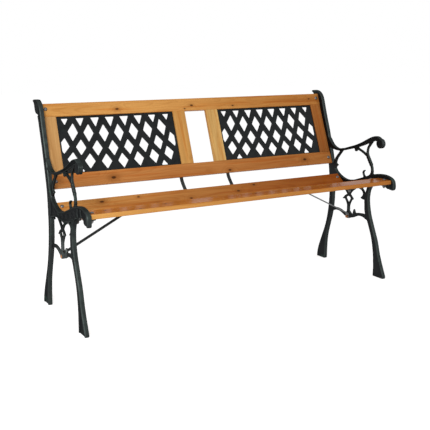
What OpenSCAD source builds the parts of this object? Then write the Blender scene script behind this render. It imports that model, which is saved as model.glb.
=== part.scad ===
// Garden bench: two cast end frames, a board seat, and a backrest with two
// iron lattice panels. Millimetres, +Z up, the bench's length along X and its
// front towards -Y. The origin is on the floor under the middle of the bench.

/* [Size] */
// Length of the boards between the two end frames
board_len = 1196; // [1000:2:1500]
// Full thickness of an end frame, ribs included
frame_t = 16; // [13:1:20]
// Height of the raised ribs on the outer face of an end frame
rib_h = 4; // [2:0.5:6]
// Thickness of the thin scrolls inside an end frame
fine_t = 8.5; // [6:0.5:10]

/* [Seat] */
// Width of a seat slat
slat_w = 60; // [50:1:64]
// Thickness of every board
board_t = 15; // [12:1:20]
// Chamfer along the long edges of a board
edge_c = 1.6; // [0.5:0.1:3]

/* [Back] */
// Lean of the backrest from upright
back_lean = 20.5; // [14:0.5:26]
// Height of the bottom rail
bottom_rail_h = 49; // [40:1:60]
// Height of the opening that holds the stiles and the lattice
panel_h = 204; // [165:1:250]
// Height of the top rail
top_rail_h = 48; // [40:1:60]
// Distance from the middle to the near side of an inner stile
stile_gap = 46; // [30:1:70]
// Width of an inner stile
inner_stile_w = 51; // [40:1:60]
// Width of an outer stile
outer_stile_w = 47; // [40:1:60]

/* [Lattice] */
// Thickness of the lattice casting
lattice_t = 6; // [4:0.5:8]
// How far the lattice sits behind the face of the rails
lattice_in = 5; // [2:0.5:7]
// Width of the plain border round the lattice
lattice_border = 7; // [5:0.5:12]

/* [Ironwork] */
// Width of a flat strap under the seat
strap_w = 13; // [10:1:20]
// Thickness of a flat strap
strap_t = 3; // [2:0.5:5]
// Width of a diagonal stay
stay_w = 10; // [8:1:16]
// Thickness of a diagonal stay
stay_t = 3; // [2:0.5:6]

/* [Fasteners] */
// Diameter of the bolts
bolt_d = 6; // [5:0.5:8]
// Gap between a bolt and its hole, on the radius
bolt_gap = 0.3; // [0.2:0.05:0.6]
// Distance of the bolts from the end of a board
bolt_in = 13; // [10:1:20]
// Diameter of the washers
washer_d = 15; // [13:0.5:20]
// Thickness of the washers
washer_t = 1.4; // [1:0.1:2]

/* [Hidden] */

half = board_len / 2;                 // inner face of an end frame
web_t = frame_t - rib_h;              // plain thickness of the casting
xb = half - bolt_in;                  // distance of the bolts from the middle
hole_d = bolt_d + 2 * bolt_gap;
fine_x = half + (web_t - fine_t) / 2; // inner side of the thin scrolls
lug_t = 7;                            // thickness of the lugs under the boards
lug_r = 13;
lug_root = 5;                         // how far a lug reaches into an end frame
rim_in = 0.9;                         // the rims of the casting: step from its edge, and width
rim_w = 4.4;
arm_t = web_t - 3;                    // the recess of the arm, and the rims beside it
arm_rim_w = 3.2;
roll_r = 18;                          // rolled end of the arm: radius, rings and their grooves
roll_rings = 4;
groove_w = 1.4;
groove_d = 1.6;
lyre_y = 2.5;                         // where the lyre and its stem stand
egg_t = 1.4;                          // height of the ovals along the band
strap_x = 101;                        // distance of the centre straps from the middle
stay_x = half - 219;                  // upper screws of the diagonal stays
stay_y = 5;                           // where a stay meets the boss of an end frame
stay_z = 208.4;
dowel_d = 8;
dowel_l = 36;
screw_d = 4;
screw_l = 12;
screw_hole = screw_d + 0.2;           // pilot hole in a board
screw_pass = screw_d + 0.4;           // hole in the iron that a screw passes
nut_h = 5;
nut_w = bolt_d + 5.5;                 // across the corners
stack = board_t + lug_t;              // what a bolt clamps
iron = [0.13, 0.15, 0.15];
wood = [0.76, 0.50, 0.24];
zinc = [0.72, 0.72, 0.72];
rust = [0.72, 0.42, 0.24];

// Backrest: its front face passes through this point at its lowest edge.
back_y = 108.4;
back_z = 415.3;
back_h = bottom_rail_h + panel_h + top_rail_h;
rail_bolts_s = [bottom_rail_h / 2, back_h - 20];   // bolt heights up the backrest
strap_screws_s = [10, bottom_rail_h - 13];         // screws of a strap in the bottom rail
out_x = half - outer_stile_w;         // far side of a lattice panel
in_x = stile_gap + inner_stile_w;     // near side of a lattice panel
mid_x = (out_x + in_x) / 2;
DOWEL_X = [for (m = [-1, 1]) for (x = [half + out_x, stile_gap + in_x]) m * x / 2];
ear_w = 28;                           // ears that hold the lattice behind the stiles
ear_h = 18;
ear_t = 3;
ear_screw = 8;                        // distance of an ear's screw outside the lattice
ear_s = [bottom_rail_h + 30, bottom_rail_h + panel_h - 30];
LAT_X = [for (m = [-1, 1]) for (x = [out_x + ear_screw, in_x - ear_screw]) m * x];
lattice_foot = lattice_border - 3;    // the border is narrower along the bottom

// Seat slats, front to rear: [y, z] of the middle of the top face, tilt
// (rear edge up), and how far the bolts are from the middle of the width.
SLATS = [[-207, 390.8, 1.4, -7], [-141.5, 383.3, -15, 0], [-78, 362.3, -21.9, 0],
    [-13.8, 344, -8.6, 0], [50.4, 357.5, 38, 10]];

// ---- curves ----
function cr(a, b, c, d, t) =
    0.5 * (2 * b + (c - a) * t + (2 * a - 5 * b + 4 * c - d) * t * t + (3 * b - a - 3 * c + d) * t * t * t);
function curve(P, n) = concat(
    [for (i = [0 : len(P) - 2]) for (k = [0 : n - 1])
        cr(P[max(i - 1, 0)], P[i], P[i + 1], P[min(i + 2, len(P) - 1)], k / n)],
    [P[len(P) - 1]]);
function side(P, i) = let (a = P[max(i - 1, 0)], b = P[min(i + 1, len(P) - 1)],
    u = b[0] - a[0], v = b[1] - a[1], l = sqrt(u * u + v * v)) [-v / l, u / l];
function moved(P, o) = [for (i = [0 : len(P) - 1])
    [P[i][0] + side(P, i)[0] * o, P[i][1] + side(P, i)[1] * o]];
function rev(P) = [for (i = [len(P) - 1 : -1 : 0]) P[i]];
// A strand's points are [y, z, width]; its edges lie at k = 1 and k = -1.
function edge(S, k) = [for (i = [0 : len(S) - 1]) let (o = k * S[i][2] / 2)
    [S[i][0] + side(S, i)[0] * o, S[i][1] + side(S, i)[1] * o]];
function strand(S) = concat(edge(S, 1), rev(edge(S, -1)));
module ribbon(P, n = 3) polygon(strand(curve(P, n)));
// A rib that follows an edge, between o1 and o2 from it.
module rib(E, o1, o2) polygon(concat(moved(E, o1), rev(moved(E, o2))));
// Puts a [y, z] outline between x0 and x1.
module plate(x0, x1) rotate([90, 0, 90]) translate([0, 0, x0]) linear_extrude(height = x1 - x0) children();

// ---- end frame outline, [y, z] ----
// The post is drawn for a back of this height and lean, and follows the real ones.
drawn_back = 301;
drawn_lean = 20.5;
function post(p) = let (
        s = (p[0] - back_y) * sin(drawn_lean) + (p[1] - back_z) * cos(drawn_lean),
        d = (p[0] - back_y) * cos(drawn_lean) - (p[1] - back_z) * sin(drawn_lean),
        t = s + (back_h - drawn_back) * min(1, s / 250))
    s <= 0 ? p : [back_y + t * sin(back_lean) + d * cos(back_lean),
        back_z + t * cos(back_lean) - d * sin(back_lean)];
function on_post(P) = [for (p = P) post(p)];
// How far back the post lies at height z when the lean differs from the drawn one.
function lean_back(z) = (z - back_z) * (tan(back_lean) - tan(drawn_lean));
REAR_F = curve(on_post([[150, 0], [148, 50], [142.5, 100], [128.5, 150], [113, 200], [104, 250],
    [101, 325], [105, 400], [114, 450], [129, 500], [143, 550], [160, 600], [175.5, 650], [184, 678],
    [193, 694], [205, 705], [217, 710.5], [228, 712]]), 3);
REAR_R = curve(on_post([[201, 0], [198.5, 22], [190, 50], [168.5, 100], [147.5, 150], [134, 200],
    [126.5, 250], [124, 310], [131, 400], [143, 450], [157, 500], [172, 550], [190, 600], [204, 640],
    [212, 655]]), 3);
CAP = curve(on_post([[212, 655], [223, 663], [230, 673], [235, 687], [238, 698], [241, 704],
    [240, 708.5], [235, 711], [228, 712]]), 2);
// The curl at the top of a post, thicker than the post's rear edge.
CURL = curve(on_post([[214, 662], [228, 664], [238, 674], [243, 689], [249, 699], [258, 704],
    [258.5, 708.5], [248, 711], [228, 712]]), 2);
FRONT_F = curve([[-204, 0], [-205, 8], [-193, 37], [-174, 87], [-160, 138], [-139, 189], [-119.5, 240],
    [-110.5, 291], [-114, 325], [-122, 343], [-133, 355], [-150, 363.5]], 3);
FRONT_R = curve([[-148, 0], [-148.5, 50], [-144.5, 100], [-134, 150], [-114, 200], [-95, 240],
    [-91, 275], [-92.5, 308], [-103, 340], [-110, 352]], 3);
ARCH = curve([[-150, 363.5], [-170, 370], [-188, 373], [-203, 371.5], [-215, 367], [-226.5, 360]], 2);
LIP = curve([[-243, 352], [-248.5, 359], [-249, 373], [-246, 387], [-236, 397], [-218, 404], [-195, 407],
    [-170, 406], [-145, 402], [-120, 395.5], [-95, 386.5], [-69, 377.5], [-29, 364.5], [-4, 359.8],
    [11, 358.5], [30, 360.3], [52, 366.5], [71, 376], [86, 387], [94, 399], [108, 420]], 2);
UNDER = curve([[112, 322], [88, 324], [66, 329], [45, 332.5], [20, 331.5], [-5, 331], [-45, 333], [-75, 337.5],
    [-100, 344.5], [-118, 353]], 2);
ARM = curve([[140 + lean_back(510), 510, 24], [119.5 + lean_back(490), 490, 18],
    [101, 480, 14], [76, 475, 10], [48, 477.5, 10], [23, 483, 10],
    [-2, 490, 11], [-27, 496.5, 12], [-54, 505.5, 13.5], [-79, 515, 15.5], [-104, 526, 17.5],
    [-129, 536, 19], [-151, 540.5, 19], [-165, 534, 20]], 3);
STRETCHER_F = curve([[-108, 220, 17], [-85, 227.3, 14.5], [-65, 227.8, 11.5], [-50, 225.8, 12.5],
    [-35, 221, 14], [-20, 215.5, 16], [0, 213, 18]], 3);
STRETCHER_R = curve([[0, 213, 18], [19, 212.5, 15], [35, 217.5, 11], [50, 223.5, 10], [67, 227, 10],
    [83, 227, 11], [97, 224, 13], [112, 219, 16]], 3);

module legs_2d() {
    polygon(concat(REAR_F, rev(concat(REAR_R, [for (i = [1 : len(CAP) - 2]) CAP[i]]))));
    polygon(concat(FRONT_F, rev(FRONT_R)));
}
module band_2d() polygon(concat(LIP, UNDER, [[-140, 362]], [for (i = [1 : len(ARCH) - 1]) ARCH[i]]));
module arm_2d() {
    polygon(strand(ARM));
    roll_2d(roll_r - groove_d);
}
module roll_2d(r) translate([-169, 522.5]) circle(r = r, $fn = 40);
module scroll_2d() {
    // front support of the arm, with the hook at its foot
    ribbon([[-126, 532, 14], [-112.5, 513, 9], [-103, 500, 8], [-100, 488, 8], [-99.5, 478, 9],
        [-102.5, 466, 11], [-109, 454, 11], [-118, 441, 10], [-124, 430, 10], [-127, 418, 10],
        [-127, 405, 11], [-121, 392, 14]]);
    ribbon([[-120, 393, 12], [-108, 385, 10], [-95, 381.5, 9], [-85, 384, 7], [-79.5, 391, 6],
        [-77.5, 399, 6], [-80, 405.5, 5.5], [-84, 407.5, 5]], 2);
    translate([-84, 407.5]) circle(d = 6, $fn = 14);
    // brace and bud under the arm
    ribbon([[-99, 468, 10], [-80, 477.5, 8.5], [-63, 484.5, 8.5], [-45, 490, 9], [-26, 492, 10]], 2);
    translate([-33, 485]) circle(r = 6.8, $fn = 20);
    // rear arc of the open ring, and its leaf
    ribbon([[46, 480, 10], [59, 467, 10.5], [74, 450.5, 10.5], [84, 439, 11.5], [91.5, 425.5, 14],
        [96, 412, 17], [99, 398, 19], [108, 384, 20]], 2);
    polygon([[92, 424], [84, 415], [75, 411], [75, 408.5], [82, 405], [90, 396]]);
}
module rope_2d() for (p = [[-104, 462], [-109.5, 453.5], [-115, 445], [-120.5, 436.5]])
    translate(p) circle(r = 7.4, $fn = 20);
module lyre_2d() translate([lyre_y, 0]) {
    // arch from the front leg, with a leaf
    ribbon([[-90, 309, 10.5], [-86, 320, 9.5], [-78, 330, 9], [-64, 335.5, 9], [-50, 336, 8.5],
        [-35, 331, 8.5], [-20, 321, 8.5], [-7.5, 309, 8.5], [2.5, 297, 10]], 2);
    polygon([[-96, 324], [-84, 318], [-80, 308], [-75, 302], [-69, 298.5], [-70, 295], [-80, 291.5],
        [-96, 291]]);
    // the branch to the rear, the loop and its leaves
    ribbon([[0.5, 296, 9.5], [8.5, 304, 8.5], [19.5, 315, 8.5], [32.5, 326, 9], [46, 336, 11]], 2);
    ribbon([[-16, 286, 8.5], [-8.5, 293, 9.5], [1, 297, 10.5], [12, 294, 9.5], [25, 287, 9]], 2);
    ribbon([[-16, 287, 8], [-10.5, 276, 8], [-3.5, 266, 9], [1.5, 256, 11]], 2);
    ribbon([[25, 288, 8], [19, 277, 8], [11, 267, 9], [5.5, 256, 11]], 2);
    polygon([[-9, 295], [-16, 291.5], [-23, 286], [-24, 281.5], [-18, 278.5], [-12, 282]]);
    polygon([[17, 296], [28, 289], [39, 279], [37, 276], [25, 278], [20, 283]]);
    // the leaf where the band meets the post
    polygon([[104, 326], [92, 328], [84, 324], [78, 317.5], [84, 315.5], [93, 318], [104, 321]]);
    // the bud on the stretcher
    polygon([[-40, 226], [-37.5, 233], [-33.5, 241.5], [-30.5, 245], [-28, 239], [-25, 231], [-22, 219]]);
}
module stem_2d() translate([lyre_y, 0]) {
    translate([-0.7, 224]) square([11, 40]);
    for (k = [0 : 3]) translate([4.8, 231 + 9 * k]) circle(r = 6.8, $fn = 18);
}
module boss_2d() translate([6, 215]) circle(r = 15, $fn = 36);

// Slat i's own axes: its width along y, its top face at z = 0.
module at_slat(i) translate([0, SLATS[i][0], SLATS[i][1]]) rotate([SLATS[i][2], 0, 0]) children();
// The backrest's own axes: z runs up it, its front face is at y = 0.
module at_back() translate([0, back_y, back_z]) rotate([-back_lean, 0, 0]) children();
// A lug with a round end, top face at z = 0, reaching into the frame.
module lug() {
    translate([0, 0, -lug_t]) cylinder(r = lug_r, h = lug_t, $fn = 40);
    translate([0, -lug_r, -lug_t]) cube([bolt_in + lug_root, 2 * lug_r, lug_t]);
}
module bolt_hole(h) cylinder(d = hole_d, h = h, $fn = 24);
// Places children at the right-hand lugs, where z = 0 is the lug's clamped face.
module at_lugs() {
    for (i = [0 : 4]) at_slat(i) translate([xb, SLATS[i][3], -board_t]) children();
    for (s = rail_bolts_s) at_back() translate([xb, board_t, s]) rotate([90, 0, 0]) children();
}

// The right-hand frame; the left one is its mirror image.
module end_frame() difference() {
    union() {
        plate(half, half + web_t) {
            legs_2d();
            band_2d();
        }
        plate(half, half + arm_t) arm_2d();
        plate(fine_x, fine_x + fine_t) {
            scroll_2d();
            polygon(strand(STRETCHER_F));
            polygon(strand(STRETCHER_R));
        }
        plate(fine_x, fine_x + fine_t - 0.5) lyre_2d();
        plate(fine_x - 0.6, fine_x + fine_t + 0.6) {
            rope_2d();
            stem_2d();
        }
        roll();
        plate(half + 5, half + frame_t) polygon(concat(CURL, [post([214, 700])]));
        plate(half, half + web_t + 1) boss_2d();
        // pad that carries the lug in the dip of the seat
        plate(half, half + lug_root)
            polygon([[-38, 336], [-34, 322.5], [-20, 319], [2, 320], [22, 324], [30, 336]]);
        plate(half + web_t - 1, half + frame_t) ribs_2d();
        plate(half + web_t - 1, half + web_t + egg_t) eggs_2d();
        plate(half + arm_t - 1, half + frame_t) rib(edge(ARM, -1), rim_in, rim_in + arm_rim_w);
        plate(half + arm_t - 1, half + web_t) rib(edge(ARM, 1), -rim_in - arm_rim_w, -rim_in);
        at_lugs() lug();
    }
    at_lugs() translate([0, 0, -lug_t - 1]) bolt_hole(lug_t + 2);
    translate([half - 1, stay_y, stay_z]) rotate([0, 90, 0]) bolt_hole(frame_t + 2);
    // the casting stands flat on the floor
    translate([0, -400, -50]) cube([half * 2, 800, 50]);
}
// The rolled end of the arm: rings with grooves between them.
module roll() {
    pitch = (frame_t + groove_w) / roll_rings;
    plate(half, half + frame_t) roll_2d(roll_r - groove_d);
    for (k = [0 : roll_rings - 1]) plate(half + k * pitch, half + (k + 1) * pitch - groove_w)
        roll_2d(roll_r - (k % (roll_rings - 1) == 0 ? groove_d / 2 : 0));
}
module ribs_2d() {
    rib(REAR_F, -rim_in, -rim_in - rim_w);
    rib(REAR_R, rim_in, rim_in + rim_w);
    rib(FRONT_F, -rim_in, -rim_in - rim_w);
    rib(FRONT_R, rim_in, rim_in + rim_w);
    rib(LIP, -rim_in, -rim_in - rim_w);
    rib(UNDER, -rim_in, -rim_in - rim_w);
    // the lip's inner rim and the two dividers of the band
    rib(curve([[-230, 361], [-234.5, 368], [-236, 378], [-230, 390], [-213, 397.5]], 2), 0, 3.5);
    rib([[-194, 374], [-186, 386], [-184, 403]], 0, 3.5);
    rib([[-160, 369], [-156, 382], [-160, 401]], 0, 3.5);
}
// Raised ovals along the band: [y, z, tilt, half length, half height].
module eggs_2d() for (e = [[-206, 383, 76, 11, 5.5], [-134, 378, 13, 12, 6.5], [-98, 366, 19, 12, 6.5],
        [-60, 354.5, 15, 13, 6.5], [-19, 347, 4, 13, 6.5], [23, 345.5, -10, 12, 6], [62, 352.5, -19, 11, 5]])
    translate([e[0], e[1]]) rotate(-e[2]) polygon([for (a = [0 : 20 : 340]) [e[3] * cos(a), e[4] * sin(a)]]);

// ---- boards ----
// A board's cross-section, w wide and board_t thick, with its face at y = 0.
module board_2d(w0, w1) polygon([[w0 + edge_c, 0], [w1 - edge_c, 0], [w1, -edge_c], [w1, edge_c - board_t],
    [w1 - edge_c, -board_t], [w0 + edge_c, -board_t], [w0, edge_c - board_t], [w0, -edge_c]]);
// A pilot hole for a screw, up into a board from its lower face.
module pilot() translate([0, 0, -board_t - 1]) cylinder(d = screw_hole, h = screw_l, $fn = 16);
module slat(i) at_slat(i) difference() {
    plate(-half, half) board_2d(-slat_w / 2, slat_w / 2);
    for (x = [-xb, xb]) translate([x, SLATS[i][3], -board_t - 1]) bolt_hole(board_t + 2);
    for (x = [-strap_x, strap_x]) translate([x, 0, 0]) pilot();
    if (i == 3) for (x = [-stay_x, stay_x]) translate([x, stay_v, 0]) pilot();
}
// Turns a slat's axes into those of a board of the back, whose rear face is at y = board_t.
module on_back() rotate([90, 0, 0]) children();
module dowels(d, l) for (x = DOWEL_X) for (s = [bottom_rail_h, bottom_rail_h + panel_h])
    translate([x, board_t / 2, s - l / 2]) cylinder(d = d, h = l, $fn = 24);
module stile(x0, x1) at_back() difference() {
    translate([0, 0, bottom_rail_h]) linear_extrude(height = panel_h) mirror([0, 1]) board_2d(x0, x1);
    dowels(dowel_d + 0.4, dowel_l + 1);
    for (x = LAT_X) for (s = ear_s) translate([x, 0, s]) on_back() pilot();
}
module rail(s0, s1) at_back() difference() {
    on_back() plate(-half, half) board_2d(s0, s1);
    for (x = [-xb, xb]) for (s = rail_bolts_s) translate([x, board_t + 1, s]) on_back()
        bolt_hole(board_t + 2);
    dowels(dowel_d + 0.4, dowel_l + 1);
    if (s0 == 0) for (x = [-strap_x, strap_x]) for (s = strap_screws_s) translate([x, 0, s]) on_back()
        pilot();
}

// ---- lattice ----
// Its pattern is drawn for a panel of this width and height and scales with the real
// one. Openings stand in arched rows; each row is [height in the middle, rise, pitch,
// half width, half height, columns, 1 if a column is in the middle].
drawn_pan = [454, 204];
pan_w = out_x - in_x;
ROWS = [[136.5, 0.00035, 57.5, 18.8, 33.5, 3, 1], [81.2, 0.00042, 60, 19, 29.3, 4, 0],
    [33.3, 0.00043, 62, 19.8, 28, 3, 1]];
function drawn(u, v) = [u * pan_w / drawn_pan[0], v * panel_h / drawn_pan[1]];
// A four-cornered opening that leans outwards the further it is from the middle.
module opening(u, v, w, h) {
    a = atan(u / 1150);
    polygon([for (c = [[-w, 0], [0, -h], [w, 0], [0, h]])
        drawn(u + c[0] * cos(a) - c[1] * sin(a), v + c[0] * sin(a) + c[1] * cos(a))]);
}
module openings_2d() {
    for (r = ROWS) for (k = [0 : r[5]]) for (m = [-1, 1]) if (k > 0 || (r[6] == 1 && m == 1)) {
        u = m * (r[6] == 1 ? k : k - 0.5) * r[2];
        opening(u, r[0] + r[1] * u * u, r[3], r[4]);
    }
    // triangles along the top, cut off by the border
    for (m = [-1, 1]) for (k = [0 : 3]) {
        u = m * (28 + 56 * k);
        tip = 158.5 + 0.00037 * u * u;
        w = (17.7 - 0.000125 * u * u) * (drawn_pan[1] - tip) / (197 - tip);
        polygon([drawn(u - w, drawn_pan[1]), drawn(u + w, drawn_pan[1]), drawn(u * 81 / 80, tip)]);
    }
    for (m = [-1, 1]) polygon([drawn(m * 146, 0), drawn(m * 179, 0), drawn(m * 160, 23.5)]);
}
module lattice_2d() difference() {
    translate([-pan_w / 2, 0]) square([pan_w, panel_h]);
    intersection() {
        translate([lattice_border - pan_w / 2, lattice_foot])
            square([pan_w - 2 * lattice_border, panel_h - lattice_border - lattice_foot]);
        openings_2d();
    }
}
module lattice_panel(m) at_back() translate([m * mid_x, 0, 0]) {
    translate([0, lattice_in + lattice_t, bottom_rail_h]) on_back() linear_extrude(height = lattice_t)
        lattice_2d();
    // an ear is a block behind the panel and a plate that reaches over the stile
    for (e = [-1, 1]) for (s = ear_s) difference() {
        union() {
            translate([e * (pan_w / 2 - 6.5) - 5.5, lattice_in + lattice_t - 1, s - ear_h / 2])
                cube([11, board_t + ear_t - lattice_in - lattice_t + 1, ear_h]);
            translate([e * (pan_w / 2 + 2) - ear_w / 2, board_t, s - ear_h / 2]) cube([ear_w, ear_t, ear_h]);
        }
        translate([e * (pan_w / 2 + ear_screw), board_t + ear_t + 1, s]) on_back()
            cylinder(d = screw_pass, h = ear_t + 2, $fn = 16);
    }
}

// ---- straps and stays, [y, z] or [x, z] and thickness ----
// A point below slat i and one behind the backrest, d off the board.
function under(i, v, d) = let (t = SLATS[i][2], w = board_t + d)
    [SLATS[i][0] + v * cos(t) + w * sin(t), SLATS[i][1] + v * sin(t) - w * cos(t), strap_t];
function behind(s, d) = let (w = board_t + d)
    [back_y + s * sin(back_lean) + w * cos(back_lean),
        back_z + s * cos(back_lean) - w * sin(back_lean), strap_t];
function between(a, b, t, drop) = [a[0] + (b[0] - a[0]) * t, a[1] + (b[1] - a[1]) * t - drop, strap_t];
strap_gap = 0.2;
strap_o = strap_t / 2 + strap_gap;
near = slat_w / 2 - 1;
past = slat_w / 2 + 2;
BEND = [under(4, past, strap_o), behind(-8, strap_o)];
STRAP = concat(
    [under(0, -12, strap_o), under(0, near, strap_o)],
    [for (i = [1, 2]) for (v = [-near, near]) under(i, v, strap_o)],
    [under(3, -near, strap_o), under(3, past, strap_o), under(4, -near, strap_o)],
    curve([under(4, near - 5, strap_o), BEND[0], between(BEND[0], BEND[1], 0.31, 2.8),
        between(BEND[0], BEND[1], 0.7, 3.1), BEND[1], behind(4, strap_o),
        behind(bottom_rail_h - 3, strap_o)], 3));
module strap(x) difference() {
    plate(x - strap_w / 2, x + strap_w / 2) polygon(strand(STRAP));
    at_strap_screws(x) translate([0, 0, -1]) cylinder(d = screw_pass, h = strap_t + strap_gap + 2, $fn = 16);
}
// Places children at the heads of a strap's screws, +z pointing into the board.
module at_strap_screws(x) {
    for (i = [0 : 4]) at_slat(i) translate([x, 0, -board_t - strap_gap - strap_t]) children();
    for (s = strap_screws_s) at_back() translate([x, board_t + strap_gap + strap_t, s]) on_back() children();
}
// A stay lies against the end frame, rises, and ends in a tab under the fourth slat.
stay_v = (stay_y - SLATS[3][0] - (board_t + stay_t / 2) * sin(SLATS[3][2])) / cos(SLATS[3][2]);
tab_z = under(3, stay_v, stay_t / 2)[1];
stay_foot = half - stay_t / 2;
STAY = [[stay_foot, stay_z - 6.4, stay_t], [stay_foot, stay_z + 9.6, stay_t],
    [stay_foot - 3, stay_z + 15.1, stay_t], [stay_x + 28, tab_z - 8, stay_t],
    [stay_x + 19, tab_z - 3, stay_t], [stay_x + 11, tab_z - 1.1, stay_t]];
module stay() difference() {
    union() {
        translate([0, stay_y + stay_w / 2, 0]) on_back() linear_extrude(height = stay_w)
            polygon(strand(STAY));
        at_slat(3) translate([stay_x - 9, stay_v - stay_w / 2, -board_t - stay_t]) cube([29, stay_w, stay_t]);
    }
    translate([half - stay_t - 1, stay_y, stay_z]) rotate([0, 90, 0]) bolt_hole(stay_t + 2);
    at_slat(3) translate([stay_x, stay_v, -board_t - stay_t - 1])
        cylinder(d = screw_pass, h = stay_t + 2, $fn = 16);
}

// ---- fasteners, drawn along +Z with the head below z = 0 ----
module bolt(l) {
    intersection() {
        translate([0, 0, 0.8 * bolt_d]) sphere(r = 4 / 3 * bolt_d, $fn = 32);
        translate([-2 * bolt_d, -2 * bolt_d, -bolt_d]) cube([4 * bolt_d, 4 * bolt_d, bolt_d]);
    }
    cylinder(d = bolt_d, h = l, $fn = 24);
}
module washer() difference() {
    cylinder(d = washer_d, h = washer_t, $fn = 28);
    translate([0, 0, -1]) bolt_hole(washer_t + 2);
}
module nut() difference() {
    cylinder(d = nut_w, h = nut_h, $fn = 6);
    translate([0, 0, -1]) cylinder(d = bolt_d + 0.4, h = nut_h + 2, $fn = 24);
}
module screw() {
    translate([0, 0, -2]) cylinder(d = 2 * screw_d, h = 2, $fn = 20);
    cylinder(d = screw_d, h = screw_l, $fn = 16);
}
// Places children at the faces of the boards, +z pointing into them.
module at_rail_bolts() for (x = [-xb, xb]) for (s = rail_bolts_s)
    at_back() translate([x, 0, s]) rotate([-90, 0, 0]) children();
module at_slat_bolts() for (x = [-xb, xb]) for (i = [0 : 4])
    at_slat(i) translate([x, SLATS[i][3], 0]) rotate([180, 0, 0]) children();
module bolts(past_nut) translate([0, 0, -washer_t]) bolt(stack + 2 * washer_t + nut_h + past_nut);
module washers() for (z = [-washer_t, stack]) translate([0, 0, z]) washer();
module nuts() translate([0, 0, stack + washer_t]) nut();
module both() {
    children();
    mirror([1, 0, 0]) children();
}
// Brings the middle of the bench's depth over the origin.
middle_y = (min([for (p = LIP) p[0]]) + max([for (p = CURL) p[0]])) / 2;
module centred() translate([0, -middle_y, 0]) children();

// ---- the pieces ----
module left_end_frame() color(iron) centred() mirror([1, 0, 0]) end_frame();
module right_end_frame() color(iron) centred() end_frame();
module seat_slat_front() color(wood) centred() slat(0);
module seat_slat_second() color(wood) centred() slat(1);
module seat_slat_third() color(wood) centred() slat(2);
module seat_slat_fourth() color(wood) centred() slat(3);
module seat_slat_rear() color(wood) centred() slat(4);
module back_top_rail() color(wood) centred() rail(back_h - top_rail_h, back_h);
module back_bottom_rail() color(wood) centred() rail(0, bottom_rail_h);
module left_outer_stile() color(wood) centred() stile(-half, -out_x);
module right_outer_stile() color(wood) centred() stile(out_x, half);
module left_inner_stile() color(wood) centred() stile(-in_x, -stile_gap);
module right_inner_stile() color(wood) centred() stile(stile_gap, in_x);
module left_lattice_panel() color(iron) centred() lattice_panel(-1);
module right_lattice_panel() color(iron) centred() lattice_panel(1);
module left_centre_strap() color(iron) centred() strap(-strap_x);
module right_centre_strap() color(iron) centred() strap(strap_x);
module left_diagonal_stay() color(iron) centred() mirror([1, 0, 0]) stay();
module right_diagonal_stay() color(iron) centred() stay();
module stile_dowels() color(wood) centred() at_back() dowels(dowel_d, dowel_l);
module rail_bolts() color(zinc) centred() at_rail_bolts() bolts(2);
module rail_washers() color(zinc) centred() at_rail_bolts() washers();
module rail_nuts() color(zinc) centred() at_rail_bolts() nuts();
module slat_bolts() color(zinc) centred() at_slat_bolts() bolts(3);
module slat_washers() color(zinc) centred() at_slat_bolts() washers();
module slat_nuts() color(zinc) centred() at_slat_bolts() nuts();
module lattice_screws() color(zinc) centred() at_back() for (x = LAT_X) for (s = ear_s)
    translate([x, board_t + ear_t, s]) on_back() screw();
module strap_screws() color(zinc) centred() for (x = [-strap_x, strap_x]) at_strap_screws(x) screw();
module stay_bolts() color(rust) centred() both() translate([half + web_t + 1, stay_y, stay_z])
    rotate([0, -90, 0]) bolt(web_t + 1 + stay_t + nut_h + 2);
module stay_nuts() color(rust) centred() both() translate([half - stay_t, stay_y, stay_z])
    rotate([0, -90, 0]) nut();
module stay_screws() color(zinc) centred() both() at_slat(3)
    translate([stay_x, stay_v, -board_t - stay_t]) screw();

left_end_frame();
right_end_frame();
seat_slat_front();
seat_slat_second();
seat_slat_third();
seat_slat_fourth();
seat_slat_rear();
back_top_rail();
back_bottom_rail();
left_outer_stile();
right_outer_stile();
left_inner_stile();
right_inner_stile();
left_lattice_panel();
right_lattice_panel();
left_centre_strap();
right_centre_strap();
left_diagonal_stay();
right_diagonal_stay();
stile_dowels();
rail_bolts();
rail_washers();
rail_nuts();
slat_bolts();
slat_washers();
slat_nuts();
lattice_screws();
strap_screws();
stay_bolts();
stay_nuts();
stay_screws();
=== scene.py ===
import math

import bmesh
import bpy
from mathutils import Matrix, Vector


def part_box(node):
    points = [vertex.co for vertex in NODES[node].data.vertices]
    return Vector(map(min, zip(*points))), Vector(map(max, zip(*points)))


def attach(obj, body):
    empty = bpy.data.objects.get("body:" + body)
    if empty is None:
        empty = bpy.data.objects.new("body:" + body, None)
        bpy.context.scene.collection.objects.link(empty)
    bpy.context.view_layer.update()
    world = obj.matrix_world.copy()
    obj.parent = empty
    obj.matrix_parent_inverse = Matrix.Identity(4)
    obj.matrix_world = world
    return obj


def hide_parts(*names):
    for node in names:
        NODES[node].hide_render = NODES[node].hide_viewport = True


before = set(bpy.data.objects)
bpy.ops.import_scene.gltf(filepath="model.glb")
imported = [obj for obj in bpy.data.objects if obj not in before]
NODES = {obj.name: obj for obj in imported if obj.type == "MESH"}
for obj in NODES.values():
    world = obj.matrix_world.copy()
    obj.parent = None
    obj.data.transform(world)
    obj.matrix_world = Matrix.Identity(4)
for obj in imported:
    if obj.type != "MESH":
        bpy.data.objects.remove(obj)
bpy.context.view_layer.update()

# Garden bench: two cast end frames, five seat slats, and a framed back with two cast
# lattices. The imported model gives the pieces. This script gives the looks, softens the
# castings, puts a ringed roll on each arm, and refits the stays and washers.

MM = 0.001

# ---- camera: the photograph's viewing angle ----
CAMERA_AT = (-1.3846, -2.3172, 0.8647)
CAMERA_TURN = -29.466      # degrees, from looking along +Y towards +X
CAMERA_DOWN = 7.129        # degrees below the horizon
CAMERA_ROLL = -0.262       # degrees
LENS = 62.87               # mm on a 36 mm sensor
SHIFT = (0.0279, -0.1558)  # the photograph is cropped off its lens axis


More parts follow.
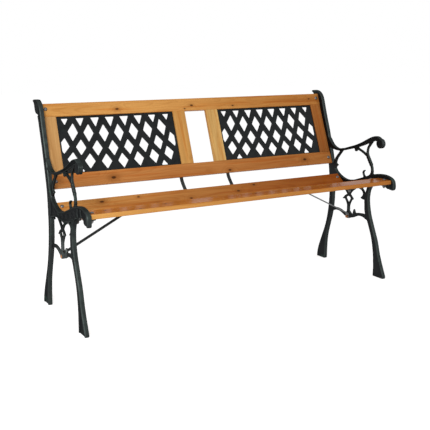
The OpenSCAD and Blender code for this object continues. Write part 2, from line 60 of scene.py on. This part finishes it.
def make_camera():
    data = bpy.data.cameras.new("camera")
    data.lens = LENS
    data.shift_x, data.shift_y = SHIFT
    data.clip_start, data.clip_end = 0.1, 60.0
    cam = bpy.data.objects.new("camera", data)
    bpy.context.scene.collection.objects.link(cam)
    turn, down, roll = (math.radians(v) for v in (CAMERA_TURN, CAMERA_DOWN, CAMERA_ROLL))
    right = Vector((math.cos(turn), math.sin(turn), 0.0))
    back = Vector((math.sin(turn) * math.cos(down), -math.cos(turn) * math.cos(down), math.sin(down)))
    up = back.cross(right)
    rolled = math.cos(roll) * right + math.sin(roll) * up
    up = math.cos(roll) * up - math.sin(roll) * right
    axes = Matrix((rolled, up, back)).transposed().to_4x4()
    cam.matrix_world = Matrix.Translation(CAMERA_AT) @ axes
    bpy.context.scene.camera = cam


# ---- light, backdrop and floor ----
WORLD_LEVEL = 0.42         # the world's light on the bench; the camera sees it as white
FLOOR_HALF = 14.0
FLOOR_COLOUR = 0.80
FLOOR_GLOW = 0.675         # brings the lit floor up to white for the rays that see it
BACKDROP_RAYS = ("Is Camera Ray", "Is Glossy Ray", "Is Transmission Ray")


def sees_backdrop(tree):
    """1 for the kinds of ray that see the white backdrop itself, else 0."""
    path = tree.nodes.new("ShaderNodeLightPath")
    result = path.outputs[BACKDROP_RAYS[0]]
    for kind in BACKDROP_RAYS[1:]:
        either = tree.nodes.new("ShaderNodeMath")
        either.operation = "MAXIMUM"
        tree.links.new(result, either.inputs[0])
        tree.links.new(path.outputs[kind], either.inputs[1])
        result = either.outputs[0]
    return result


def make_world():
    world = bpy.data.worlds.new("studio")
    bpy.context.scene.world = world
    world.use_nodes = True
    tree = world.node_tree
    background = tree.nodes["Background"]
    background.inputs["Color"].default_value = (1, 1, 1, 1)
    level = tree.nodes.new("ShaderNodeMapRange")
    level.inputs["To Min"].default_value = WORLD_LEVEL
    level.inputs["To Max"].default_value = 1.0
    tree.links.new(sees_backdrop(tree), level.inputs["Value"])
    tree.links.new(level.outputs["Result"], background.inputs["Strength"])


def area_light(name, at, towards, size, power):
    data = bpy.data.lights.new(name, "AREA")
    data.shape = "DISK"
    data.size = size
    data.energy = power
    light = bpy.data.objects.new(name, data)
    light.location = at
    light.rotation_euler = (Vector(towards) - Vector(at)).to_track_quat("-Z", "Y").to_euler()
    bpy.context.scene.collection.objects.link(light)


def floor_material():
    """A plain pale floor that keeps the bench's shadow and reads as white elsewhere."""
    material = bpy.data.materials.new("floor")
    material.use_nodes = True
    tree = material.node_tree
    shader = tree.nodes["Principled BSDF"]
    shader.inputs["Base Color"].default_value = (FLOOR_COLOUR,) * 3 + (1,)
    shader.inputs["Specular IOR Level"].default_value = 0.0
    shader.inputs["Roughness"].default_value = 1.0
    glow = tree.nodes.new("ShaderNodeEmission")
    lift = tree.nodes.new("ShaderNodeMath")
    lift.operation = "MULTIPLY"
    lift.inputs[1].default_value = FLOOR_GLOW
    tree.links.new(sees_backdrop(tree), lift.inputs[0])
    tree.links.new(lift.outputs[0], glow.inputs["Strength"])
    both = tree.nodes.new("ShaderNodeAddShader")
    tree.links.new(shader.outputs[0], both.inputs[0])
    tree.links.new(glow.outputs[0], both.inputs[1])
    tree.links.new(both.outputs[0], tree.nodes["Material Output"].inputs["Surface"])
    return material


def make_floor():
    mesh = bpy.data.meshes.new("floor")
    s = FLOOR_HALF
    mesh.from_pydata([(-s, -s, 0), (s, -s, 0), (s, s, 0), (-s, s, 0)], [], [(0, 1, 2, 3)])
    mesh.materials.append(floor_material())
    linked("floor", mesh)


def linked(name, mesh):
    """A new object in the scene for a mesh."""
    made = bpy.data.objects.new(name, mesh)
    bpy.context.scene.collection.objects.link(made)
    return made


# ---- node helpers ----
class Graph:
    """A short way to write a material's nodes."""

    def __init__(self, name):
        self.material = bpy.data.materials.new(name)
        self.material.use_nodes = True
        self.tree = self.material.node_tree
        self.shader = self.tree.nodes["Principled BSDF"]

    def put(self, socket, value):
        """Link a socket to a value that varies, or set it to one that doesn't."""
        if isinstance(value, bpy.types.NodeSocket):
            self.tree.links.new(value, socket)
        elif value is not None:
            socket.default_value = value

    def node(self, kind, **settings):
        made = self.tree.nodes.new("ShaderNode" + kind)
        for key, value in settings.items():
            setattr(made, key, value)
        return made

    def place(self):
        return self.node("TexCoord").outputs["Object"]

    def math(self, operation, a, b=None, c=None):
        made = self.node("Math", operation=operation)
        for socket, value in zip(made.inputs, (a, b, c)):
            self.put(socket, value)
        return made.outputs[0]

    def add(self, a, b):
        return self.math("ADD", a, b)

    def times(self, a, b):
        return self.math("MULTIPLY", a, b)

    def length2(self, a, b):
        """The squared length of the vector (a, b)."""
        return self.add(self.times(a, a), self.times(b, b))

    def vector(self, operation, a, b=None):
        made = self.node("VectorMath", operation=operation)
        self.put(made.inputs[0], a)
        self.put(made.inputs[1], b)
        return made.outputs["Value" if operation in ("LENGTH", "DOT_PRODUCT") else "Vector"]

    def noise(self, at, scale, detail=2.0, rough=0.5):
        made = self.node("TexNoise")
        self.put(made.inputs["Vector"], at)
        made.inputs["Scale"].default_value = scale
        made.inputs["Detail"].default_value = detail
        made.inputs["Roughness"].default_value = rough
        return made.outputs["Fac"]

    def swing(self, field, size):
        """A noise field turned into a swing about zero, of the size given."""
        return self.times(self.math("SUBTRACT", field, 0.5), size)

    def ramp(self, value, low, high, to_low=0.0, to_high=1.0, smooth=True):
        made = self.node("MapRange", interpolation_type="SMOOTHSTEP" if smooth else "LINEAR")
        for key, number in (("Value", value), ("From Min", low), ("From Max", high),
                            ("To Min", to_low), ("To Max", to_high)):
            self.put(made.inputs[key], number)
        return made.outputs["Result"]

    def mix(self, amount, a, b, blend="MIX"):
        made = self.node("Mix", data_type="RGBA", blend_type=blend)
        self.put(made.inputs["Factor"], amount)
        for key, colour in (("A", a), ("B", b)):
            self.put(made.inputs[key], colour if isinstance(colour, bpy.types.NodeSocket) else (*colour, 1))
        return made.outputs["Result"]

    def tint(self, amount, colour, by):
        """A colour multiplied by another, by the amount given."""
        return self.mix(amount, colour, self.mix(1.0, colour, by, "MULTIPLY"))

    def bump(self, height, distance, strength, under=None):
        made = self.node("Bump")
        made.inputs["Strength"].default_value = strength
        made.inputs["Distance"].default_value = distance
        self.put(made.inputs["Height"], height)
        self.put(made.inputs["Normal"], under)
        return made.outputs["Normal"]


# ---- varnished pine ----
RING = 4.2 * MM            # spacing of the growth rings
CONTRAST = 1.3             # of the grain
KNOT_STRETCH = 0.55        # below 1 a knot is longer along the grain
KNOT_REACH = 2.6           # how many radii round a knot its rings bend
KNOT_HEART = (0.055, 0.020, 0.008)
KNOT_HALO = (0.24, 0.075, 0.014)
FLECK = (0.16, 0.055, 0.012)
VARNISH_LEVEL = 0.026      # low, because glossy rays see a pure white backdrop
VARNISH_TINT = (0.85, 0.48, 0.20, 1)


def board_axes(node):
    """Grain, width and face directions of a board, and the middle of its box. Its face is
    the largest flat one that looks up or to the front."""
    area = {}
    for polygon in node.data.polygons:
        n = polygon.normal
        if n.z - n.y > 0.2 and abs(n.x) < 0.1:
            key = (round(n.y, 2), round(n.z, 2))
            area[key] = area.get(key, 0.0) + polygon.area
    y, z = max(area, key=area.get)
    face = Vector((0, y, z)).normalized()
    low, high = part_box(node.name)
    grain = Vector((1, 0, 0))
    if high.x - low.x < 0.1:               # a stile, whose grain runs up the back
        grain = face.cross(grain)
    return grain, face.cross(grain), face, (low + high) / 2


def board_length(node, grain):
    low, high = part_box(node.name)
    return high.x - low.x if grain.x else high.z - low.z


def knot_fields(g, along, side, knots):
    """Two fields over a board: 1 in the heart of a knot, and how far its knots push the
    rings aside. knots are [along, across, radius] in metres from the board's middle."""
    heart = push = 0.0
    for x, v, r in knots:
        dx = g.times(g.math("SUBTRACT", along, x), KNOT_STRETCH)
        dv = g.math("SUBTRACT", side, v)
        d2 = g.length2(dx, dv)
        near = g.math("POWER", math.e, g.times(d2, -1 / (KNOT_REACH * r) ** 2))
        heart = g.math("MAXIMUM", heart, g.ramp(g.math("SQRT", d2), 0.45 * r, r, 1.0, 0.0))
        push = g.add(push, g.times(near, KNOT_REACH * r))
    return heart, push


def late_wood(g, at, side, deep, push, seed):
    """1 in the dark late wood of each ring. The rings lie about a pith that wanders under
    the board."""
    drift = g.swing(g.noise(at(0.16, 0.0), 9.0, 2.0), 0.085)
    height = g.add(g.add(deep, 0.045 + 0.02 * math.sin(seed)), drift)
    shift = g.add(side, 0.012 * math.sin(2.3 * seed))
    radius = g.add(g.math("SQRT", g.length2(height, shift)), push)
    warp = g.swing(g.noise(at(0.05, 5.0), 60.0, 3.0), 0.004)
    phase = g.math("FRACT", g.math("DIVIDE", g.add(radius, warp), RING))
    return g.times(g.ramp(phase, 0.45, 0.93), g.ramp(phase, 0.94, 1.0, 1.0, 0.0))


def tone_with_painted_light(g, along, length, across, tone, edge):
    """The board's colour from its one end to the other. On the rails and slats the right end is painted
    darker: painted shade for light falling off to the right. edge is the tone of the side that looks to the
    front, painted lighter as a lit copy of the board's colour."""
    # painted shade: the colour runs from one end's to the other's, darker towards the right on rails and
    # slats
    place_along = g.ramp(along, -length / 2, length / 2, smooth=False)
    base = g.mix(place_along, *tone)
    if edge:
        # painted light: the face that looks to the front takes edge, a lighter lit copy of the board's
        # colour
        normal = g.node("NewGeometry").outputs["Normal"]
        front = g.ramp(g.vector("DOT_PRODUCT", normal, tuple(-across)), 0.5, 0.8)
        base = g.mix(front, base, g.mix(place_along, *edge))
    return base


def pine(name, node, tone, seed, knots=(), edge=None):
    """Varnished pine for one board. tone and edge are the colours at its two ends, with the right end of
    rails and slats painted darker as painted shade; edge is the painted lit colour of the face that looks
    to the front.
    """
    g = Graph(name)
    grain, across, face, middle = board_axes(node)
    local = g.vector("SUBTRACT", g.place(), tuple(middle))
    along, side, deep = (g.vector("DOT_PRODUCT", local, tuple(axis)) for axis in (grain, across, face))

    def at(stretch, offset):
        """A place for noise that is drawn out along the grain."""
        made = g.node("CombineXYZ")
        g.put(made.inputs[0], g.math("MULTIPLY_ADD", along, stretch, seed * 3.17 + offset))
        g.put(made.inputs[1], g.add(side, seed * 1.31))
        g.put(made.inputs[2], deep)
        return made.outputs[0]

    heart, push = knot_fields(g, along, side, knots)
    late = late_wood(g, at, side, deep, push, seed)
    streak = g.noise(at(0.010, 11.0), 330.0, 3.0, 0.6)
    band = g.noise(at(0.06, 17.0), 60.0, 2.0)
    broad = g.noise(at(0.12, 23.0), 9.0, 2.0)
    fleck = g.ramp(g.noise(at(0.02, 31.0), 800.0, 2.0), 0.60, 0.80)
    flame = g.ramp(g.noise(at(0.045, 41.0), 75.0, 4.0, 0.6), 0.50, 0.66)

    dark = g.times(late, 0.22 * CONTRAST)
    for field, weight in ((streak, 1.1), (band, 0.9), (broad, 1.6)):
        dark = g.add(dark, g.swing(field, weight * CONTRAST))
    shade = g.mix(g.ramp(dark, -0.45, 0.95, smooth=False), (1.16, 1.20, 1.24), (0.70, 0.54, 0.40))
    base = tone_with_painted_light(g, along, board_length(node, grain), across, tone, edge)
    colour = g.mix(1.0, base, shade, "MULTIPLY")
    colour = g.tint(g.times(flame, 0.75), colour, (0.90, 0.66, 0.45))
    colour = g.mix(g.times(fleck, 0.22), colour, FLECK)
    if knots:
        colour = g.mix(g.ramp(push, 1.5 * MM, 16 * MM, 0.0, 0.55), colour, KNOT_HALO)
        colour = g.mix(g.times(heart, 0.90), colour, KNOT_HEART)
    g.put(g.shader.inputs["Base Color"], colour)
    g.put(g.shader.inputs["Roughness"], g.ramp(streak, 0.2, 0.8, 0.12, 0.22))
    g.shader.inputs["Specular IOR Level"].default_value = VARNISH_LEVEL
    g.shader.inputs["Specular Tint"].default_value = VARNISH_TINT
    relief = g.math("MULTIPLY_ADD", late, 0.6, g.times(streak, 0.4))
    g.put(g.shader.inputs["Normal"], g.bump(relief, 0.18 * MM, 0.5))
    return g.material


# ---- painted cast iron ----
PATINA = (0.045, 0.085, 0.065)
BLEACHED = (0.080, 0.092, 0.090)
IRON_METAL = 0.9
IRON_LEVEL = 0.02          # with the tint, keeps the white backdrop from veiling the paint
IRON_TINT = (0.45, 0.45, 0.45, 1)


def scaled(colour, by):
    return tuple(by * c for c in colour)


def cast_iron(name, face, edge, rim, patina=0.0, bleached=None):
    """Green-black paint over a sand casting, with painted light: edge is a painted highlight where it looks
    to the front or up, rim a painted highlight on its ridges, and it is painted darker in its hollows as
    painted shade. bleached is the middle of a pale patch."""
    g = Graph(name)
    place = g.place()
    geometry = g.node("NewGeometry")
    ridge = geometry.outputs["Pointiness"]
    facing = g.node("SeparateXYZ")
    g.put(facing.inputs[0], geometry.outputs["Normal"])
    sideways = g.math("ABSOLUTE", facing.outputs[0])
    cloud = g.noise(place, 14.0, 3.0)
    grit = g.noise(place, 900.0, 3.0, 0.65)
    lump = g.noise(place, 160.0, 2.0)
    mottle = g.noise(place, 45.0, 3.0, 0.6)

    # painted highlight: faces that look to the front or up are painted lighter, broken up by a noise
    turned = g.times(g.ramp(sideways, 0.85, 0.40), g.ramp(facing.outputs[2], -0.6, 0.35, 0.15, 1.0))
    painted_front_up_highlight = g.times(turned, g.ramp(mottle, 0.30, 0.68, 0.35, 1.0))
    # painted highlight: ridges found by pointiness are painted lighter, as glints on the rims
    ridge_highlight = g.times(g.ramp(ridge, 0.512, 0.565), g.ramp(cloud, 0.35, 0.65, 0.55, 1.0))
    # painted shade: hollows found by pointiness are painted darker
    hollow_shade = g.ramp(ridge, 0.49, 0.42)
    colour = g.mix(g.ramp(cloud, 0.3, 0.7), face, scaled(face, 1.35))
    colour = g.mix(painted_front_up_highlight, colour, edge)
    colour = g.mix(ridge_highlight, colour, rim)
    if bleached:
        far = g.vector("LENGTH", g.vector("SUBTRACT", place, bleached))
        pale = g.times(g.ramp(far, 40 * MM, 60 * MM, 1.0, 0.0), g.ramp(mottle, 0.25, 0.6, 0.45, 0.9))
        colour = g.mix(pale, colour, BLEACHED)
    # painted shade in the hollows
    colour = g.mix(g.times(hollow_shade, 0.7), colour, scaled(face, 0.4))
    if patina:
        spots = g.ramp(g.noise(place, 26.0, 4.0, 0.6), 0.60, 0.72)
        colour = g.mix(g.times(spots, patina), colour, PATINA)
    g.put(g.shader.inputs["Base Color"], colour)
    g.put(g.shader.inputs["Roughness"], g.ramp(grit, 0.3, 0.7, 0.38, 0.50))
    g.shader.inputs["Metallic"].default_value = IRON_METAL
    g.shader.inputs["Specular IOR Level"].default_value = IRON_LEVEL
    g.shader.inputs["Specular Tint"].default_value = IRON_TINT
    lumps = g.bump(lump, 0.6 * MM, 0.35)
    g.put(g.shader.inputs["Normal"], g.bump(grit, 0.25 * MM, 0.35, lumps))
    return g.material


def plated(name, colour, rough, metal=1.0):
    """Plated steel, clouded with age."""
    g = Graph(name)
    cloud = g.noise(g.place(), 300.0, 3.0)
    g.put(g.shader.inputs["Base Color"], g.mix(g.ramp(cloud, 0.3, 0.7), colour, scaled(colour, 0.7)))
    g.put(g.shader.inputs["Roughness"], g.ramp(cloud, 0.3, 0.7, rough, rough + 0.15))
    g.shader.inputs["Metallic"].default_value = metal
    return g.material


# ---- meshes ----
def copied(name, node):
    """A new object with a copy of a CAD node's mesh, merged into one skin."""
    bm = bmesh.new()
    bm.from_mesh(node.data)
    bmesh.ops.remove_doubles(bm, verts=bm.verts, dist=1e-6)
    mesh = bpy.data.meshes.new(name)
    bm.to_mesh(mesh)
    bm.free()
    return linked(name, mesh)


def stands_for(piece, node):
    """Show a piece in place of a CAD node."""
    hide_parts(node)
    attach(piece, "root")
    return piece


def paint(piece, material):
    piece.data.materials.clear()
    piece.data.materials.append(material)


# ---- castings ----
CAST_WIDTH = 16 * MM       # thickness of an end frame
FRAME_VOXEL = 1.6 * MM
FRAME_SOFTEN = 4
LATTICE_VOXEL = 1.5 * MM
LATTICE_SOFTEN = 2

# Corners of the tongue under the front lip: mm behind the casting's front, above the floor
TONGUE = ((6, 352), (36, 355.5), (43, 360), (46, 372), (22, 370))
TONGUE_DEPTH = (0.4 * MM, 11.6 * MM)    # from the inner face of the casting


def frame_side(side):
    """The low corner of an end frame's box, the x of its inner face, and which way is out."""
    low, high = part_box(side + "_end_frame")
    if side == "right":
        return low, high.x - CAST_WIDTH, 1
    return low, low.x + CAST_WIDTH, -1


def add_tongue(piece, side):
    """The wedge that fills the inner corner of the front lip. The remesh joins it on."""
    low, inner, out = frame_side(side)
    bm = bmesh.new()
    bm.from_mesh(piece.data)
    rows = [[bm.verts.new((inner + out * depth, low.y + y * MM, low.z + z * MM)) for y, z in TONGUE]
            for depth in TONGUE_DEPTH]
    faces = [bm.faces.new(row) for row in rows]
    for k in range(len(TONGUE)):
        j = (k + 1) % len(TONGUE)
        faces.append(bm.faces.new((rows[0][k], rows[0][j], rows[1][j], rows[1][k])))
    bmesh.ops.recalc_face_normals(bm, faces=faces)
    bm.to_mesh(piece.data)
    bm.free()


def softened(piece, node, voxel, soften):
    """A casting's soft skin: its solid remeshed and relaxed, as one smooth mesh."""
    remesh = piece.modifiers.new("skin", "REMESH")
    remesh.mode = "VOXEL"
    remesh.voxel_size = voxel
    remesh.use_smooth_shade = True
    relax = piece.modifiers.new("relax", "SMOOTH")
    relax.factor = 0.5
    relax.iterations = soften
    graph = bpy.context.evaluated_depsgraph_get()
    mesh = bpy.data.meshes.new_from_object(piece.evaluated_get(graph))
    piece.modifiers.clear()
    piece.data = mesh
    mesh.polygons.foreach_set("use_smooth", [True] * len(mesh.polygons))
    return stands_for(piece, node)


def end_frame(side):
    node = side + "_end_frame"
    piece = copied(node + "_casting", NODES[node])
    add_tongue(piece, side)
    return softened(piece, node, FRAME_VOXEL, FRAME_SOFTEN)


def lattice(side):
    node = side + "_lattice_panel"
    return softened(copied(node + "_casting", NODES[node]), node, LATTICE_VOXEL, LATTICE_SOFTEN)


# ---- rolled ends of the arms ----
ROLL_BACK = 80 * MM        # the roll's axis: behind the front of the casting, above the floor
ROLL_UP = 522.5 * MM
ROLL_CREST = 18.6 * MM     # radius on a ring, and between two
ROLL_VALLEY = 16.4 * MM
ROLL_FULLNESS = 0.6        # below 1 the rings are full and the grooves narrow
ROLL_INSET = 0.25 * MM     # from either face of the casting
ROLL_SINK = 0.84           # the casting under the rings keeps this share of its radius
ROLL_JOINS = 0.3           # in crest radii above the axis: from here up, it is left alone
ROLL_RINGS = 4
ROLL_STEPS = 8             # points across one ring
ROLL_TURN = 56             # points around it


def sink_under_roll(casting, y, z):
    """Draw the casting in towards the roll's axis, so that only the rings show."""
    for vertex in casting.data.vertices:
        away = Vector((0, vertex.co.y - y, vertex.co.z - z))
        if away.length < ROLL_CREST + MM and away.z < ROLL_JOINS * ROLL_CREST:
            vertex.co = Vector((vertex.co.x, y, z)) + ROLL_SINK * away


def ring_radius(t):
    """The roll's radius at a share t of its length."""
    crest = abs(math.sin(math.pi * ROLL_RINGS * t)) ** ROLL_FULLNESS
    return ROLL_VALLEY + (ROLL_CREST - ROLL_VALLEY) * crest


def arm_roll(side, casting):
    """The ringed roll at the end of an arm, turned about X."""
    low, inner, out = frame_side(side)
    y, z = low.y + ROLL_BACK, low.z + ROLL_UP
    sink_under_roll(casting, y, z)
    bm = bmesh.new()
    count = ROLL_RINGS * ROLL_STEPS
    loops = []
    for i in range(count + 1):
        t = i / count
        radius = ring_radius(t)
        x = inner + out * (ROLL_INSET + t * (CAST_WIDTH - 2 * ROLL_INSET))
        loops.append([bm.verts.new((x, y + radius * math.cos(a), z + radius * math.sin(a)))
                      for a in (math.tau * k / ROLL_TURN for k in range(ROLL_TURN))])
    for one, two in zip(loops, loops[1:]):
        for k in range(ROLL_TURN):
            j = (k + 1) % ROLL_TURN
            bm.faces.new((one[k], one[j], two[j], two[k]))
    bm.faces.new(loops[0])
    bm.faces.new(loops[-1])
    bmesh.ops.recalc_face_normals(bm, faces=bm.faces)
    name = side + "_arm_roll"
    mesh = bpy.data.meshes.new(name)
    bm.to_mesh(mesh)
    bm.free()
    mesh.polygons.foreach_set("use_smooth", [len(f.vertices) == 4 for f in mesh.polygons])
    piece = linked(name, mesh)
    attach(piece, "root")
    return piece


# ---- stays and washers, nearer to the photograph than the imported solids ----
STAY_EDGE = 4.5 * MM       # a stay's edge points lie further than this from its middle
STAY_WIDER = 4 * MM        # how far each edge moves out
STAY_BEVEL = 0.5 * MM
WASHER_RIM = 6.5 * MM      # a washer's rim points lie further than this from its middle
WASHER_SCALE = 0.8         # the share of that distance that they keep


def wide_stay(side):
    """A diagonal stay with its two edges moved out and softened, and its holes kept."""
    node = side + "_diagonal_stay"
    piece = copied(side + "_flat_stay", NODES[node])
    low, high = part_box(node)
    middle = (low.y + high.y) / 2
    for vertex in piece.data.vertices:
        off = vertex.co.y - middle
        if abs(off) > STAY_EDGE:
            vertex.co.y += math.copysign(STAY_WIDER, off)
    soft = piece.modifiers.new("soft", "BEVEL")
    soft.width = STAY_BEVEL
    soft.segments = 2
    return stands_for(piece, node)


def islands(bm):
    """The vertices of each separate solid in a mesh."""
    left = set(bm.verts)
    for start in bm.verts:
        if start not in left:
            continue
        left.remove(start)
        found, ends = [], [start]
        while ends:
            one = ends.pop()
            found.append(one)
            for edge in one.link_edges:
                other = edge.other_vert(one)
                if other in left:
                    left.remove(other)
                    ends.append(other)
        yield found


def small_washers(node):
    """The washers of a node with their rims drawn in, which also rounds them."""
    piece = copied(node + "_small", NODES[node])
    bm = bmesh.new()
    bm.from_mesh(piece.data)
    for ring in islands(bm):
        middle = sum((v.co for v in ring), Vector()) / len(ring)
        for v in ring:
            out = v.co - middle
            if out.length > WASHER_RIM:
                v.co = middle + WASHER_SCALE * out
    bm.to_mesh(piece.data)
    bm.free()
    return stands_for(piece, node)


# ---- wood of each board ----
# the colours at its two ends: left and right, or bottom and top. The right end of each rail and slat is
# painted darker: painted shade for light falling off to the right.
TOP = ((0.63, 0.325, 0.094), (0.50, 0.205, 0.050))
BOTTOM = ((0.53, 0.23, 0.070), (0.43, 0.165, 0.042))
# painted light: the front slat's front face, a lighter lit copy of the colour of its top
FRONT_FACE_LIT = ((0.60, 0.30, 0.082), (0.47, 0.175, 0.038))
FRONT_TOP = ((0.47, 0.155, 0.022), (0.385, 0.120, 0.020))
MIDDLE = ((0.50, 0.20, 0.045), (0.42, 0.14, 0.022))
REAR = ((0.60, 0.30, 0.090), (0.315, 0.078, 0.0085))
OUTER_LEFT = ((0.50, 0.275, 0.102), (0.50, 0.275, 0.102))
INNER_LEFT = ((0.58, 0.31, 0.092), (0.58, 0.31, 0.092))
INNER_RIGHT = ((0.66, 0.42, 0.150), (0.66, 0.42, 0.150))
# painted shadow: the right outer stile is painted dark for the shadow that the right post casts on it
OUTER_RIGHT = ((0.32, 0.112, 0.027), (0.37, 0.135, 0.033))

# node: tone, seed, knots, and the tone of the front edge, a painted lit copy of the board's colour
BOARDS = {
    "back_top_rail": (TOP, 1.0, ((-0.32, -0.006, 0.005), (-0.013, -0.004, 0.0045), (-0.045, -0.016, 0.003),
                                 (0.17, -0.012, 0.0035), (0.547, 0.002, 0.0035))),
    "back_bottom_rail": (BOTTOM, 2.0, ((-0.374, -0.003, 0.0065), (0.103, -0.015, 0.005),
                                       (0.463, 0.0, 0.006))),
    "seat_slat_front": (FRONT_TOP, 3.0, ((-0.43, -0.020, 0.004), (-0.33, 0.006, 0.004),
                                         (-0.535, 0.010, 0.004), (0.02, 0.012, 0.004)), FRONT_FACE_LIT),
    "seat_slat_second": (MIDDLE, 4.0),
    "seat_slat_third": (MIDDLE, 5.0),
    "seat_slat_fourth": (MIDDLE, 6.0),
    "seat_slat_rear": (REAR, 7.0, ((-0.443, 0.012, 0.006), (-0.304, 0.016, 0.004), (-0.24, -0.022, 0.005),
                                   (-0.106, -0.016, 0.0045), (0.10, -0.006, 0.005), (0.18, 0.016, 0.0045))),
    "left_outer_stile": (OUTER_LEFT, 8.0),
    "left_inner_stile": (INNER_LEFT, 9.0),
    "right_inner_stile": (INNER_RIGHT, 10.0),
    "right_outer_stile": (OUTER_RIGHT, 11.0),
    "stile_dowels": (INNER_LEFT, 12.0),
}


def left_stay_bolt():
    """Where the paint is palest: the brace of the left frame, just above its stay's bolt."""
    low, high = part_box("stay_bolts")
    return (low.x, (low.y + high.y) / 2, (low.z + high.z) / 2 + 6 * MM)


def finish_wood():
    for name, looks in BOARDS.items():
        paint(NODES[name], pine("pine_" + name, NODES[name], *looks))


def finish_iron():
    # the edge and rim colours of each casting are painted highlights, and its hollows take painted shade
    iron = cast_iron("cast_iron", (0.0170, 0.0182, 0.0190), (0.040, 0.050, 0.047), (0.056, 0.067, 0.063),
                     patina=0.45, bleached=left_stay_bolt())
    grille = cast_iron("lattice_iron", (0.0120, 0.0128, 0.0135), (0.021, 0.023, 0.0235),
                       (0.030, 0.034, 0.034), patina=0.08)
    # painted reflection: the right stay is painted light grey for the light it reflects edge-on
    painted_glint_bar = cast_iron("painted_glint_bar", (0.14, 0.145, 0.145), (0.23, 0.235, 0.235), (0.28, 0.285, 0.285))
    bar = cast_iron("painted_bar", (0.012, 0.013, 0.0135), (0.022, 0.024, 0.025), (0.05, 0.055, 0.055))
    for side in ("left", "right"):
        casting = end_frame(side)
        paint(casting, iron)
        paint(arm_roll(side, casting), iron)
        paint(lattice(side), grille)
        paint(NODES[side + "_centre_strap"], bar)
    paint(wide_stay("left"), bar)
    # the right stay takes the painted reflection
    paint(wide_stay("right"), painted_glint_bar)


def finish_fasteners():
    zinc = plated("zinc", (0.16, 0.155, 0.155), 0.32)
    dull = plated("dull_zinc", (0.060, 0.058, 0.055), 0.45)
    orange = plated("orange_plate", (0.55, 0.24, 0.09), 0.35, 0.6)
    for name in ("rail_bolts", "rail_nuts", "slat_bolts", "slat_nuts", "lattice_screws", "strap_screws",
                 "stay_screws"):
        paint(NODES[name], zinc)
    for name in ("rail_washers", "slat_washers"):
        paint(small_washers(name), dull)
    for name in ("stay_bolts", "stay_nuts"):
        paint(NODES[name], orange)


bpy.context.scene.view_settings.view_transform = "Standard"
make_camera()
make_world()
area_light("key", at=(-1.9, -2.1, 1.7), towards=(-0.1, 0, 0.45), size=1.3, power=62)
area_light("fill", at=(2.2, -2.6, 1.4), towards=(0.2, 0, 0.4), size=1.8, power=8)
make_floor()
finish_wood()
finish_iron()
finish_fasteners()
